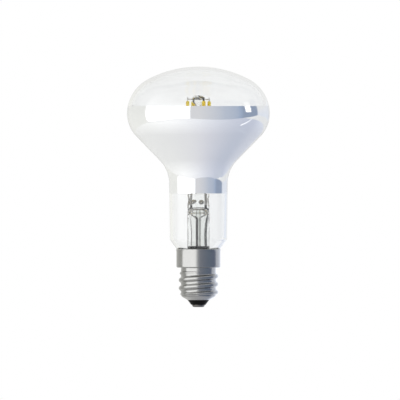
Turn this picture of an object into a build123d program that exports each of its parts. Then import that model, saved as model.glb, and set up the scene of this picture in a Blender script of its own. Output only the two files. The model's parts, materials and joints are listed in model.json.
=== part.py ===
from build123d import *

import os
from math import cos, radians, sin, sqrt, tan

# Reflector bulb of 50 mm diameter: a blown glass envelope with a mirror inside, LED filaments on
# a glass stem, and an E14 screw cap that holds the driver. All sizes are in millimetres and degrees.
# Z is the bulb's axis, and the origin is the middle of the centre contact's flat face.

# Glass envelope, measured on the outside
bulb_diameter = 50.0  # at the widest point
crown_radius = 38.0  # arc over the clear face
rim_radius = 13.7  # arc from the widest point up to the face
shoulder_radius = 11.3  # arc from the widest point down to the reflector's flank
flank_angle = 44.2  # reflector's flank against the axis
neck_fillet_radius = 11.4  # hollow curve from the flank into the neck
neck_diameter = 20.66  # where the lines of flank and neck meet
neck_taper = 0.8  # neck's side against the axis
neck_length = 27.8  # from the cap's rim up to where flank and neck meet
heel_angle = 37.0  # cone at the neck's foot against the axis
heel_bend_radius = 1.0  # inside the bend from the neck to that cone
seal_diameter = 13.8  # neck's end inside the cap
seal_gap = 0.9  # from the cap's step up to the stem's flare
glass_wall = 1.0
glass_clearance = 0.1  # between the neck's cone and the cap's lip

# Mirror coating on the envelope's inside
coating_thickness = 0.1
coating_rise = 2.5  # upper edge above the widest point
coating_drop = 8.2  # lower edge below the meeting of flank and neck

# Screw cap
collar_diameter = 15.4
collar_height = 6.4
lip_flare = 0.2
lip_height = 0.6
screw_length = 10.0  # from the nose up to the collar's step
nose_height = 1.3
nose_hole_diameter = 7.6
nose_bend_radius = 0.8  # inside the bend
step_bend_radius = 0.2  # inside both bends of the step
cap_wall = 0.3
thread_major_diameter = 13.8
thread_minor_diameter = 12.2
thread_pitch = 2.822
thread_root_width = 2.0
thread_crest_width = 0.6
thread_top_land = 1.3  # plain band under the collar
thread_runout = 1.0
thread_root_overlap = 0.1  # ridge sunk into the wall that carries it

# Insulator and centre contact
insulator_drop = 1.7  # below the nose
insulator_tip_diameter = 5.0
insulator_thickness = 2.5  # above the nose's hole
contact_diameter = 4.4
contact_thickness = 0.8
contact_edge_radius = 0.7
rivet_diameter = 1.6
rivet_bore = 0.8
rivet_rise = 0.4  # above the insulator

# Stem, exhaust tube and pillar
stem_diameter = 7.8
stem_wall = 0.8
stem_waist_bore = 4.6
stem_length = 23.8  # from the neck's end up to the top of the press
press_height = 5.7  # solid glass above the stem's bore
press_thickness = 3.4
press_cover = 1.0  # flats start this far above the bore
press_slope_height = 1.9
press_edge_radius = 0.6
exhaust_diameter = 1.9
exhaust_bore = 1.0
exhaust_seat = 2.0  # depth in the press
exhaust_tail = 0.8  # below the flare
blow_hole_diameter = 1.2
plug_rise = 1.0  # stem's plug above the cap's rim
pillar_diameter = 2.2
bead_diameter = 4.3
bead_height = 3.3
bead_grip = 1.9  # glass below the lower bridge wire's axis
bead_top_radius = 1.4
bead_foot_height = 0.8  # cone from the pillar out to the bead

# Filaments and their wires
filament_count = 4
filament_length = 30.0
filament_width = 1.25
filament_thickness = 1.0
filament_corner_radius = 0.4
filament_circle_diameter = 8.4
filament_rise = 2.6  # above the press
first_filament_angle = 26.2
tab_length = 1.3
tab_width = 0.55
tab_thickness = 0.25
bridge_wire_diameter = 0.4
bridge_spacing = 0.75  # between the axes of the two upper bridge wires
bridge_bend_radius = 1.3
bridge_overhang_angle = 7.0  # lower bridge wires past the tabs' middles
lead_wire_diameter = 0.75
lead_bend_radius = 0.8
lead_spacing = 4.8  # where the lead wires pass the press
lead_stub = 0.6  # straight lead above and below the press
weld_gap = 0.2
left_lead_in_stem = (-0.46, -1.5)
right_lead_in_stem = (0.66, 1.42)
lead_press_entry = 1.4  # bend into the press below the bore's crown
lead_slope_height = 1.6  # slanted run between the press and the stem's middle

# Driver in the cap
board_height = 8.2
board_thickness = 1.0
board_offset = 0.6  # of the board's middle plane behind the axis
board_side_gap = 0.35
board_notch_width = 4.8
board_notch_height = 1.5
left_lead_on_board = -2.6
right_lead_on_board = 1.4
lead_on_board_length = 1.7
rectifier_size = (4.7, 1.6, 3.9)
rectifier_place = (-1.6, 3.0)  # across the board, and above its foot
chip_size = (2.5, 1.5, 4.5)
chip_place = (-3.2, 1.6)
capacitor_diameter = 4.0
capacitor_height = 6.0
capacitor_chamfer = 0.3
capacitor_place = (1.2, 0.8)  # across the board, and above the rivet
capacitor_pitch = 1.5
resistor_diameter = 1.8
resistor_length = 4.5
resistor_chamfer = 0.3
resistor_place = (2.9, 1.6)
component_gap = 0.1
component_lead_diameter = 0.4
component_lead_rise = 0.4  # from a body's end to the lead's bend
resistor_lead_height = 0.7  # of the lead's cross run above the insulator
shell_wire_start = -3.0  # across the board
shell_wire_drop = 0.4  # below the board's top edge

# Heights along the axis
insulator_foot_z = contact_thickness
nose_z = insulator_foot_z + insulator_drop
screw_z = nose_z + nose_height
step_z = screw_z + screw_length
rim_z = step_z + collar_height
insulator_top_z = nose_z + insulator_thickness
flare_foot_z = step_z + cap_wall + seal_gap
seal_z = flare_foot_z + stem_wall
neck_corner_z = rim_z + neck_length
press_top_z = seal_z + stem_length
bore_crown_z = press_top_z - press_height
plug_top_z = rim_z + plug_rise
filament_foot_z = press_top_z + filament_rise
filament_top_z = filament_foot_z + filament_length
lower_bridge_z = filament_foot_z - tab_length / 2
upper_bridge_z = filament_top_z + tab_length / 2
bead_z = upper_bridge_z - bead_grip
board_top_z = insulator_top_z + board_height

# Radii and places that several pieces share
bulb_r = bulb_diameter / 2
seal_r = seal_diameter / 2
collar_r = collar_diameter / 2
cap_minor_r = thread_minor_diameter / 2
cap_major_r = thread_major_diameter / 2
cap_bore_r = cap_minor_r - cap_wall
nose_hole_r = nose_hole_diameter / 2
rivet_r = rivet_diameter / 2
neck_bore_r = seal_r - glass_wall
stem_r = stem_diameter / 2
stem_bore_r = stem_r - stem_wall
exhaust_r = exhaust_diameter / 2
filament_circle_r = filament_circle_diameter / 2
bridge_wire_r = bridge_wire_diameter / 2
lead_wire_r = lead_wire_diameter / 2
component_lead_r = component_lead_diameter / 2
tab_face_r = filament_circle_r - tab_thickness / 2
bridge_circle_r = tab_face_r - bridge_wire_r
filament_step = 360 / filament_count
board_front_y = board_offset - board_thickness / 2
board_rear_y = board_offset + board_thickness / 2

# The stem's bore opens into the flare below and closes in a dome above
flare_z = seal_z + neck_bore_r - stem_r
dome_z = bore_crown_z - (stem_bore_r - exhaust_r)

# The widest point's height follows from the neck's corner up along the flank and the shoulder
flank_foot_r = neck_diameter / 2
flank_top_r = bulb_r - shoulder_radius * (1 - cos(radians(flank_angle)))
flank_top_z = neck_corner_z + (flank_top_r - flank_foot_r) / tan(radians(flank_angle))
equator_z = flank_top_z + shoulder_radius * sin(radians(flank_angle))

# The cone at the neck's foot starts just inside the cap's lip
mouth_r = collar_r + lip_flare - cap_wall - glass_clearance
heel_slope = tan(radians(heel_angle))
neck_slope = tan(radians(neck_taper))
heel_foot_z = rim_z - (mouth_r - seal_r) / heel_slope
heel_top_z = rim_z + (flank_foot_r - neck_length * neck_slope - mouth_r) / (heel_slope - neck_slope)
heel_top_r = mouth_r + (heel_top_z - rim_z) * heel_slope


def turned(section):
    """Solid of revolution about Z, from a section drawn as (radius, height)."""
    return revolve(Plane.XZ * section, Axis.Z)


def turned_polygon(*points):
    """Solid of revolution from the corners of its section."""
    return turned(make_face(Polyline(*points, close=True)))


def wall_section(outline, thickness):
    """Section of an even wall inside an outline that is drawn from its foot upwards."""
    return make_face(outline.offset_2d(thickness, side=Side.LEFT, closed=True).edges())


def rod(path, diameter):
    """Round wire along a path."""
    start = Plane(origin=path @ 0, z_dir=path % 0)
    return sweep(start * Circle(diameter / 2), path=path, transition=Transition.RIGHT)


def plate(x, y, z, size):
    """Block of size (x, y, z) whose foot is centred on a point."""
    return Pos(x, y, z) * Box(*size, align=(Align.CENTER, Align.CENTER, Align.MIN))


def round_bar(x, y, z, diameter, height):
    """Upright cylinder whose foot is centred on a point."""
    return Pos(x, y, z) * Cylinder(diameter / 2, height, align=(Align.CENTER, Align.CENTER, Align.MIN))


def envelope_outline():
    """Outside of the glass from its sealed end up to the top of the face."""
    flank_top = (flank_top_r, flank_top_z)
    widest = (bulb_r, equator_z)
    crown_to_rim = crown_radius - rim_radius
    rim_centre_r = bulb_r - rim_radius
    crown_centre_z = equator_z - sqrt(crown_to_rim**2 - rim_centre_r**2)
    rim_end = (
        rim_centre_r * crown_radius / crown_to_rim,
        crown_centre_z + (equator_z - crown_centre_z) * crown_radius / crown_to_rim,
    )
    neck = FilletPolyline(
        (seal_r, seal_z),
        (seal_r, heel_foot_z),
        (heel_top_r, heel_top_z),
        (flank_foot_r, neck_corner_z),
        flank_top,
        radius=[0, heel_bend_radius + glass_wall, neck_fillet_radius],
    )
    shoulder = TangentArc(flank_top, widest, tangent=neck % 1)
    rim = TangentArc(widest, rim_end, tangent=(0, 1))
    crown = TangentArc(rim_end, (0, crown_centre_z + crown_radius), tangent=rim % 1)
    return Wire([*neck.edges(), shoulder, rim, crown])


def glass_envelope():
    return turned(wall_section(envelope_outline(), glass_wall))


def reflector_coating():
    """Film on the inside of the glass, cut level at both edges."""
    inside = envelope_outline().offset_2d(glass_wall, side=Side.LEFT, closed=False)
    film = make_face(inside.offset_2d(coating_thickness, side=Side.RIGHT, closed=True).edges())
    foot_z = neck_corner_z - coating_drop
    height = equator_z + coating_rise - foot_z
    band = Pos(0, foot_z) * Rectangle(bulb_diameter, height, align=(Align.MIN, Align.MIN))
    return turned(film & band)


def cap_outline():
    """Outside of the cap's sheet from the nose's hole up to the lip, without its thread."""
    return FilletPolyline(
        (nose_hole_r, nose_z),
        (cap_minor_r, screw_z),
        (cap_minor_r, step_z),
        (collar_r, step_z),
        (collar_r, rim_z - lip_height),
        (collar_r + lip_flare, rim_z),
        radius=[
            nose_bend_radius + cap_wall,
            step_bend_radius,
            step_bend_radius + cap_wall,
            0,
        ],
    )


def thread_ridge(minor_r, major_r):
    """Right-hand ridge of the rolled thread, faded out by cones at both ends."""
    foot_z = screw_z
    top_z = step_z - thread_top_land
    root_r = minor_r - thread_root_overlap
    profile = Polyline(
        (root_r, 0, -thread_root_width / 2),
        (major_r, 0, -thread_crest_width / 2),
        (major_r, 0, thread_crest_width / 2),
        (root_r, 0, thread_root_width / 2),
        close=True,
    )
    helix = Helix(pitch=thread_pitch, height=top_z - foot_z + thread_pitch, radius=minor_r)
    ridge = sweep(make_face(profile), path=helix, is_frenet=True)
    room = turned_polygon(
        (0, foot_z),
        (root_r, foot_z),
        (major_r + thread_root_overlap, foot_z + thread_runout),
        (major_r + thread_root_overlap, top_z - thread_runout),
        (root_r, top_z),
        (0, top_z),
    )
    return Pos(0, 0, foot_z - thread_pitch / 2) * ridge & room


def cap_shell():
    """One drawn sheet: nose, rolled screw, step, collar and lip."""
    sheet = turned(wall_section(cap_outline(), cap_wall))
    outer_ridge = thread_ridge(cap_minor_r, cap_major_r)
    inner_groove = thread_ridge(cap_bore_r, cap_major_r - cap_wall)
    return sheet + outer_ridge - inner_groove


def cap_insulator():
    """Moulded foot that fills the cap's nose and carries the contact."""
    inside = cap_outline().offset_2d(cap_wall, side=Side.LEFT, closed=False)
    hole_edge = min(inside @ 0, inside @ 1, key=lambda point: point.Y)
    rim = max(inside @ 0, inside @ 1, key=lambda point: point.Y)
    cavity = make_face([*inside.edges(), *Polyline(rim, (0, rim.Y), (0, hole_edge.Y), hole_edge).edges()])
    plug = cavity & Rectangle(cap_minor_r, insulator_top_z, align=(Align.MIN, Align.MIN))
    tip = make_face(
        Polyline(
            (0, insulator_foot_z),
            (insulator_tip_diameter / 2, insulator_foot_z),
            (nose_hole_r, nose_z),
            hole_edge,
            (0, hole_edge.Y),
            close=True,
        )
    )
    hole = Rectangle(rivet_r, insulator_top_z, align=(Align.MIN, Align.MIN))
    return turned(plug + tip - hole)


def centre_contact():
    """Flat contact with a hollow rivet up through the insulator."""
    rivet_top_z = insulator_top_z + rivet_rise
    head = round_bar(0, 0, 0, contact_diameter, contact_thickness)
    head = fillet(head.edges().group_by(Axis.Z)[0], contact_edge_radius)
    rivet = round_bar(0, 0, 0, rivet_diameter, rivet_top_z)
    bore = round_bar(0, 0, contact_thickness, rivet_bore, rivet_top_z)
    return head + rivet - bore


def capping_cement():
    """Ring between the neck's end and the collar."""
    inner_r, outer_r = seal_r, collar_r - cap_wall
    return turned_polygon(
        (inner_r, flare_foot_z), (outer_r, flare_foot_z), (outer_r, heel_foot_z), (inner_r, heel_foot_z)
    )


def stem_bore():
    """Half section of the stem's waisted bore."""
    waist = (stem_waist_bore / 2, (flare_z + dome_z) / 2)
    return make_face(
        [
            Line((0, flare_foot_z), (neck_bore_r, flare_foot_z)),
            TangentArc((neck_bore_r, flare_foot_z), (stem_bore_r, flare_z), tangent=(-1, 0)),
            ThreePointArc((stem_bore_r, flare_z), waist, (stem_bore_r, dome_z)),
            TangentArc((stem_bore_r, dome_z), (exhaust_r, bore_crown_z), tangent=(0, 1)),
            *Polyline((exhaust_r, bore_crown_z), (0, bore_crown_z), (0, flare_foot_z)).edges(),
        ]
    )


def stem():
    """Stem tube with its flare, bore, press, exhaust seat, blow hole and lead holes."""
    flare_rim = Polyline((0, flare_foot_z), (seal_r, flare_foot_z), (seal_r, seal_z), (neck_bore_r, seal_z))
    flare_curve = TangentArc((neck_bore_r, seal_z), (stem_r, flare_z), tangent=(-1, 0))
    tube_side = Polyline((stem_r, flare_z), (stem_r, press_top_z), (0, press_top_z), (0, flare_foot_z))
    section = make_face([*flare_rim.edges(), flare_curve, *tube_side.edges()])
    flats_z = bore_crown_z + press_cover
    slope_z = flats_z - press_slope_height
    half = press_thickness / 2
    jaw = make_face(
        Polyline((stem_r, slope_z), (half, flats_z), (half, press_top_z), (stem_r, press_top_z), close=True)
    )
    jaw_cut = extrude(Plane.YZ * jaw, stem_diameter, both=True)
    body = turned(section) - jaw_cut - mirror(jaw_cut, Plane.XZ)
    body = fillet(body.edges().group_by(Axis.Z)[-1], press_edge_radius)
    body -= turned(stem_bore())
    body -= round_bar(0, 0, bore_crown_z, exhaust_diameter, exhaust_seat)
    blow_z = bore_crown_z + exhaust_seat + blow_hole_diameter / 2
    body -= round_bar(0, 0, bore_crown_z, exhaust_bore, blow_z - bore_crown_z)
    body -= Pos(0, 0, blow_z) * Rot(X=90) * Cylinder(blow_hole_diameter / 2, stem_diameter)
    for x in (-lead_spacing / 2, lead_spacing / 2):
        body -= round_bar(x, 0, dome_z, lead_wire_diameter, press_top_z)
    return body


def stem_plug():
    """Soft plug in the stem's foot, round the leads and the exhaust tube."""
    height = plug_top_z - flare_z
    band = Pos(0, flare_z) * Rectangle(stem_r, height, align=(Align.MIN, Align.MIN))
    plug = turned(stem_bore() & band) - round_bar(0, 0, flare_z, exhaust_diameter, height)
    for x, y in (left_lead_in_stem, right_lead_in_stem):
        plug -= round_bar(x, y, flare_z, lead_wire_diameter, height)
    return plug


def exhaust_tube():
    """Tube from the press down through the flare, with a round closed tip."""
    tip_z = flare_foot_z - exhaust_tail
    top_z = bore_crown_z + exhaust_seat
    bore_r = exhaust_bore / 2
    outside = make_face(
        [
            TangentArc((0, tip_z), (exhaust_r, tip_z + exhaust_r), tangent=(1, 0)),
            *Polyline((exhaust_r, tip_z + exhaust_r), (exhaust_r, top_z), (0, top_z), (0, tip_z)).edges(),
        ]
    )
    bore = Pos(0, tip_z + exhaust_r) * Rectangle(bore_r, top_z, align=(Align.MIN, Align.MIN))
    return turned(outside - bore)


def filament_pillar():
    """Glass rod on the press with the bead that holds the upper bridge wires."""
    pillar_r, bead_r = pillar_diameter / 2, bead_diameter / 2
    bead_top_z = bead_z + bead_height
    side = FilletPolyline(
        (pillar_r, press_top_z),
        (pillar_r, bead_z),
        (bead_r, bead_z + bead_foot_height),
        (bead_r, bead_top_z),
        (0, bead_top_z),
        radius=[0, 0, bead_top_radius],
    )
    axis = Polyline((0, bead_top_z), (0, press_top_z), (pillar_r, press_top_z))
    pillar = turned(make_face([*side.edges(), *axis.edges()]))
    channel = Rot(Y=90) * Cylinder(bridge_wire_r, bead_diameter)
    low = Pos(0, 0, upper_bridge_z) * Rot(Z=first_filament_angle) * channel
    high = Pos(0, 0, upper_bridge_z + bridge_spacing) * Rot(Z=first_filament_angle + filament_step) * channel
    return pillar - low - high


def upper_bridge_low():
    """Straight wire through the bead, between the tabs of two opposite filaments."""
    wire = Rot(Y=90) * Cylinder(bridge_wire_r, 2 * tab_face_r)
    return Pos(0, 0, upper_bridge_z) * Rot(Z=first_filament_angle) * wire


def upper_bridge_high():
    """Wire over the first one, with both ends bent down along the other two filaments' tabs."""
    high_z = upper_bridge_z + bridge_spacing
    path = FilletPolyline(
        (-bridge_circle_r, 0, filament_top_z),
        (-bridge_circle_r, 0, high_z),
        (bridge_circle_r, 0, high_z),
        (bridge_circle_r, 0, filament_top_z),
        radius=bridge_bend_radius,
    )
    return Rot(Z=first_filament_angle + filament_step) * rod(path, bridge_wire_diameter)


def lower_bridge(first_angle):
    """Arc of wire along the foot tabs of two neighbouring filaments."""
    start = first_angle - bridge_overhang_angle
    arc = CenterArc((0, 0), bridge_circle_r, start, filament_step + 2 * bridge_overhang_angle)
    return rod(Pos(0, 0, lower_bridge_z) * arc, bridge_wire_diameter)


def filament():
    """Phosphor-coated strip, on the axis with its foot at height 0."""
    section = RectangleRounded(filament_thickness, filament_width, filament_corner_radius)
    return extrude(section, filament_length)


def filament_tab():
    """Metal end of a filament, on the axis with its foot at height 0."""
    return plate(0, 0, 0, (tab_thickness, tab_width, tab_length))


def lead_wire(side, in_stem, on_board, board_y, bridge_angle):
    """Lead from the board up through stem and press to the middle of a lower bridge wire."""
    press_x = side * lead_spacing / 2
    bridge_middle = Vector(bridge_circle_r, 0, lower_bridge_z).rotate(Axis.Z, bridge_angle)
    above_press = Vector(press_x, 0, press_top_z + lead_stub)
    reach = bridge_middle - above_press
    end = bridge_middle - reach.normalized() * (bridge_wire_r + weld_gap)
    below_press = bore_crown_z - lead_press_entry
    path = FilletPolyline(
        (on_board, board_y, board_top_z - lead_on_board_length),
        (on_board, board_y, board_top_z),
        (*in_stem, seal_z + stem_wall),
        (*in_stem, below_press - lead_slope_height),
        (press_x, 0, below_press),
        above_press,
        end,
        radius=lead_bend_radius,
    )
    return rod(path, lead_wire_diameter)


def driver_board():
    """Upright board on the insulator, notched over the rivet."""
    reach_y = max(abs(board_front_y), abs(board_rear_y))
    width = 2 * (sqrt(cap_bore_r**2 - reach_y**2) - board_side_gap)
    board = plate(0, board_offset, insulator_top_z, (width, board_thickness, board_height))
    notch = (board_notch_width, board_thickness, board_notch_height)
    return board - plate(0, board_offset, insulator_top_z, notch)


def bridge_rectifier():
    across, height = rectifier_place
    y = board_rear_y + rectifier_size[1] / 2
    return plate(across, y, insulator_top_z + height, rectifier_size)


def driver_chip():
    across, height = chip_place
    y = board_front_y - chip_size[1] / 2
    return plate(across, y, insulator_top_z + height, chip_size)


def smoothing_capacitor():
    """Can in front of the board, with two leads bent over into it."""
    across, height = capacitor_place
    y = board_front_y - component_gap - capacitor_diameter / 2
    foot_z = insulator_top_z + rivet_rise + height
    top_z = foot_z + capacitor_height
    can = round_bar(across, y, foot_z, capacitor_diameter, capacitor_height)
    part = chamfer(can.edges().filter_by(GeomType.CIRCLE), capacitor_chamfer)
    for x in (across - capacitor_pitch / 2, across + capacitor_pitch / 2):
        run_z = top_z + component_lead_rise
        path = Polyline((x, y, top_z), (x, y, run_z), (x, board_front_y, run_z))
        part += rod(path, component_lead_diameter)
    return part


def fusible_resistor():
    """Body behind the board, one lead into the board and one down into the rivet."""
    across, height = resistor_place
    y = board_rear_y + component_gap + resistor_diameter / 2
    foot_z = insulator_top_z + height
    top_z = foot_z + resistor_length
    run_z = insulator_top_z + resistor_lead_height
    body = round_bar(across, y, foot_z, resistor_diameter, resistor_length)
    body = chamfer(body.edges().filter_by(GeomType.CIRCLE), resistor_chamfer)
    bend_z = top_z + component_lead_rise
    upper = Polyline((across, y, top_z), (across, y, bend_z), (across, board_rear_y, bend_z))
    lower = Polyline((across, y, foot_z), (across, y, run_z), (0, 0, run_z), (0, 0, contact_thickness))
    return body + rod(upper, component_lead_diameter) + rod(lower, component_lead_diameter)


def shell_wire():
    """Wire along the board's back to the cap's plain band, cut to the band's curve."""
    y = board_rear_y + component_lead_r
    z = board_top_z - shell_wire_drop
    wire = rod(Line((shell_wire_start, y, z), (-cap_minor_r, y, z)), component_lead_diameter)
    return wire & round_bar(0, 0, 0, 2 * cap_bore_r, rim_z)


def build_parts():
    """Every piece of the bulb, by name."""
    left_lead_y = board_front_y - lead_wire_r
    right_lead_y = board_rear_y + lead_wire_r
    left_bridge = first_filament_angle + filament_step
    right_bridge = first_filament_angle + 3 * filament_step
    left_joint = left_bridge + filament_step / 2
    right_joint = right_bridge + filament_step / 2
    parts = {
        "glass_envelope": glass_envelope(),
        "reflector_coating": reflector_coating(),
        "stem": stem(),
        "stem_plug": stem_plug(),
        "exhaust_tube": exhaust_tube(),
        "filament_pillar": filament_pillar(),
        "upper_bridge_low": upper_bridge_low(),
        "upper_bridge_high": upper_bridge_high(),
        "lower_bridge_left": lower_bridge(left_bridge),
        "lower_bridge_right": lower_bridge(right_bridge),
        "lead_wire_left": lead_wire(-1, left_lead_in_stem, left_lead_on_board, left_lead_y, left_joint),
        "lead_wire_right": lead_wire(1, right_lead_in_stem, right_lead_on_board, right_lead_y, right_joint),
        "cap_shell": cap_shell(),
        "cap_insulator": cap_insulator(),
        "centre_contact": centre_contact(),
        "capping_cement": capping_cement(),
        "driver_board": driver_board(),
        "bridge_rectifier": bridge_rectifier(),
        "driver_chip": driver_chip(),
        "smoothing_capacitor": smoothing_capacitor(),
        "fusible_resistor": fusible_resistor(),
        "shell_wire": shell_wire(),
    }
    for number in range(filament_count):
        turn = Rot(Z=first_filament_angle + number * filament_step) * Pos(filament_circle_r, 0, 0)
        name = f"filament_{number + 1}"
        parts[name] = turn * Pos(0, 0, filament_foot_z) * filament()
        parts[f"{name}_foot_tab"] = turn * Pos(0, 0, filament_foot_z - tab_length) * filament_tab()
        parts[f"{name}_top_tab"] = turn * Pos(0, 0, filament_top_z) * filament_tab()
    return parts


os.makedirs("parts", exist_ok=True)
for part_name, part in build_parts().items():
    export_step(part, f"parts/{part_name}.step")
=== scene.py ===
# %% [markdown]
# # A reflector bulb
# This bulb is a blown glass envelope, silvered on the inside up to its widest point, so that its light
# leaves only through the clear face. Four LED filaments stand round a glass pillar on the stem, and a
# small screw cap holds the driver. The CAD solids come in first as a fixed frame in metres: every new
# piece goes where its solid is, so nothing has to be fitted by eye.

# %% Load the CAD frame
import json
from math import asin, atan2, cos, degrees, pi, radians, sin, sqrt, tan

import bmesh
import bpy
from mathutils import Matrix, Vector


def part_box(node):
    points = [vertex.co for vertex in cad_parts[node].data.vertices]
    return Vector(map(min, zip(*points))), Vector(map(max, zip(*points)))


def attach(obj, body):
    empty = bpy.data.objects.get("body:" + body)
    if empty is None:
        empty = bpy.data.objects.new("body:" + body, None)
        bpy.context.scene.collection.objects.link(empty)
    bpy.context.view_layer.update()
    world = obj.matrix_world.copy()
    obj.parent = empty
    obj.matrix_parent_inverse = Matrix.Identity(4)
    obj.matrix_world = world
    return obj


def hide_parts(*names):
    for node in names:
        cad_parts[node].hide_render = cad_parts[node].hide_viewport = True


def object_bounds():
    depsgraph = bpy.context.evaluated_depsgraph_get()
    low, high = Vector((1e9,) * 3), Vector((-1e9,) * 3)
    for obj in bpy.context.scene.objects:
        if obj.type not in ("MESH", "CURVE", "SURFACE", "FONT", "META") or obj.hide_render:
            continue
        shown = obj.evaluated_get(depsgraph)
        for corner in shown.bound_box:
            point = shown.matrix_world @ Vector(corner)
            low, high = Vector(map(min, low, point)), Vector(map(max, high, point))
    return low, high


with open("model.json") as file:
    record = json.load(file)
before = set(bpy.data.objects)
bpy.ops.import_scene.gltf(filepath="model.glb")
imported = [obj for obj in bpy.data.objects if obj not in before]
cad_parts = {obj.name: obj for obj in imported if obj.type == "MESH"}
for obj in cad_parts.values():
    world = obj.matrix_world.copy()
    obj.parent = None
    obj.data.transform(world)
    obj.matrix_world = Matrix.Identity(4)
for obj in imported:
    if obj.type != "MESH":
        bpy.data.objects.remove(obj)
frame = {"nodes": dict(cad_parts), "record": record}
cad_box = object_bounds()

MM = 0.001
cad_size = [round(side / MM, 2) for side in cad_box[1] - cad_box[0]]
print("CAD nodes:", len(frame["nodes"]), "box in mm:", cad_size)

# %% [markdown]
# ## Camera
# The bulb was photographed level and from far away, so its outline shows almost no perspective. An
# orthographic camera would do, but a long lens keeps the faint narrowing of a real picture. One pixel
# is a known length at the bulb's axis, which gives the lens, and the axis and the foot have known
# pixels, which gives the point that the camera looks at.

# %% Place the camera
PHOTO_SIDE_PX = 400
PIXEL = 0.35 * MM  # length of one pixel at the bulb's axis
AXIS_PX = 198.4  # column of the bulb's axis
FOOT_PX = 307.1  # row of the contact's flat face
CAMERA_DISTANCE = 5.0

scene = bpy.context.scene
camera_data = bpy.data.cameras.new("photo_camera")
camera_data.lens = camera_data.sensor_width * CAMERA_DISTANCE / (PHOTO_SIDE_PX * PIXEL)
camera = bpy.data.objects.new("photo_camera", camera_data)
camera.location = (
    (PHOTO_SIDE_PX / 2 - AXIS_PX) * PIXEL,
    -CAMERA_DISTANCE,
    (FOOT_PX - PHOTO_SIDE_PX / 2) * PIXEL,
)
camera.rotation_euler = (radians(90), 0, 0)
scene.collection.objects.link(camera)
scene.camera = camera
scene.view_settings.view_transform = "Standard"
print("camera lens in mm:", round(camera_data.lens, 1))

# %% [markdown]
# ## Studio
# Glass and mirrors have hardly any colour of their own: what they show is the room. So the room is
# built first. A white world of strength 1 is the background and the even light. Cards that the camera
# doesn't see stand round the bulb and give the mirror something to show. Light that passes many glass
# walls needs many bounces, so their limits go up.

# %% White world and light bounces
world = bpy.data.worlds.new("white_studio")
world.use_nodes = True
background = world.node_tree.nodes["Background"]
background.inputs["Color"].default_value = (1, 1, 1, 1)
background.inputs["Strength"].default_value = 1.0
scene.world = world

LIGHT_BOUNCES = 24
scene.cycles.max_bounces = LIGHT_BOUNCES
scene.cycles.transmission_bounces = LIGHT_BOUNCES
scene.cycles.glossy_bounces = LIGHT_BOUNCES // 2
print("world strength 1, bounces:", LIGHT_BOUNCES)

# %% [markdown]
# ### Node trees by script
# A material is a tree of nodes. A few short functions keep the later cells readable: they add a node
# with its settings and links, do sums, mix colours, give the place on the object and fill a colour ramp.

# %% Helpers for node trees
MIX_FIRST, MIX_SECOND, MIX_RESULT = 6, 7, 2  # where a Mix node has its sockets for colours


def shader_tree(material):
    """Empties a material's node tree and gives it back with its output node."""
    material.use_nodes = True
    tree = material.node_tree
    tree.nodes.clear()
    return tree, tree.nodes.new("ShaderNodeOutputMaterial")


def feed(tree, socket, value):
    """Links a socket to another one, or gives it a plain value."""
    if isinstance(value, bpy.types.NodeSocket):
        tree.links.new(value, socket)
    else:
        socket.default_value = value


def add_node(tree, kind, *inputs, **named):
    """Adds a node. Its inputs are given in order or by name, and its settings by name."""
    node = tree.nodes.new(kind)
    for name, value in named.items():
        socket = name.replace("_", " ")
        if socket in node.inputs:
            feed(tree, node.inputs[socket], value)
        else:
            setattr(node, name, value)
    for socket, value in zip(node.inputs, inputs):
        feed(tree, socket, value)
    return node


def reckon(tree, operation, *values):
    """Math node on sockets or numbers."""
    return add_node(tree, "ShaderNodeMath", *values, operation=operation).outputs["Value"]


def mix_colours(tree, share, first, second):
    """Mix node on two colours, each a socket or a plain colour."""
    node = add_node(tree, "ShaderNodeMix", share, data_type="RGBA")
    feed(tree, node.inputs[MIX_FIRST], first)
    feed(tree, node.inputs[MIX_SECOND], second)
    return node.outputs[MIX_RESULT]


def place_of(tree):
    """Object coordinates of the shaded point, as the outputs X, Y and Z."""
    place = add_node(tree, "ShaderNodeTexCoord").outputs["Object"]
    return add_node(tree, "ShaderNodeSeparateXYZ", place).outputs


def ramp_stops(ramp, stops, blending="LINEAR"):
    """Sets the colours of a colour ramp from pairs of position and colour."""
    ramp.color_ramp.interpolation = blending
    elements = ramp.color_ramp.elements
    while len(elements) < len(stops):
        elements.new(1.0)
    for element, (position, colour) in zip(elements, stops):
        element.position = position
        element.color = (*colour, 1)


print("a Mix node gives its colour at socket:", MIX_RESULT)

# %% [markdown]
# ### What each ray may see
# A ray that comes back from the mirror has passed the same glass face twice. A ray that crosses the
# whole bulb has passed four faces, or more if the stem is on its way. Light Path counts them as
# Transmission Depth. So the cards show only up to two faces, and whoever looks through the clear
# glass, from any side, sees the white background and not the studio.

# %% Helpers for the studio's materials
MIRROR_FACES = 2  # glass faces on the way to the mirror and back
ENVELOPE_FACES = 4  # glass faces on a straight way through both walls of the envelope
UP_TO_MIRROR, PAST_ENVELOPE = MIRROR_FACES + 0.5, ENVELOPE_FACES + 0.5


def show_if(tree, shown, number, compare, limit):
    """Shows a shader only to rays for which a number of Light Path is below, or above, a limit."""
    path = add_node(tree, "ShaderNodeLightPath")
    clear = add_node(tree, "ShaderNodeBsdfTransparent").outputs["BSDF"]
    seen = reckon(tree, compare, path.outputs[number], limit)
    return add_node(tree, "ShaderNodeMixShader", seen, clear, shown).outputs["Shader"]


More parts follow.
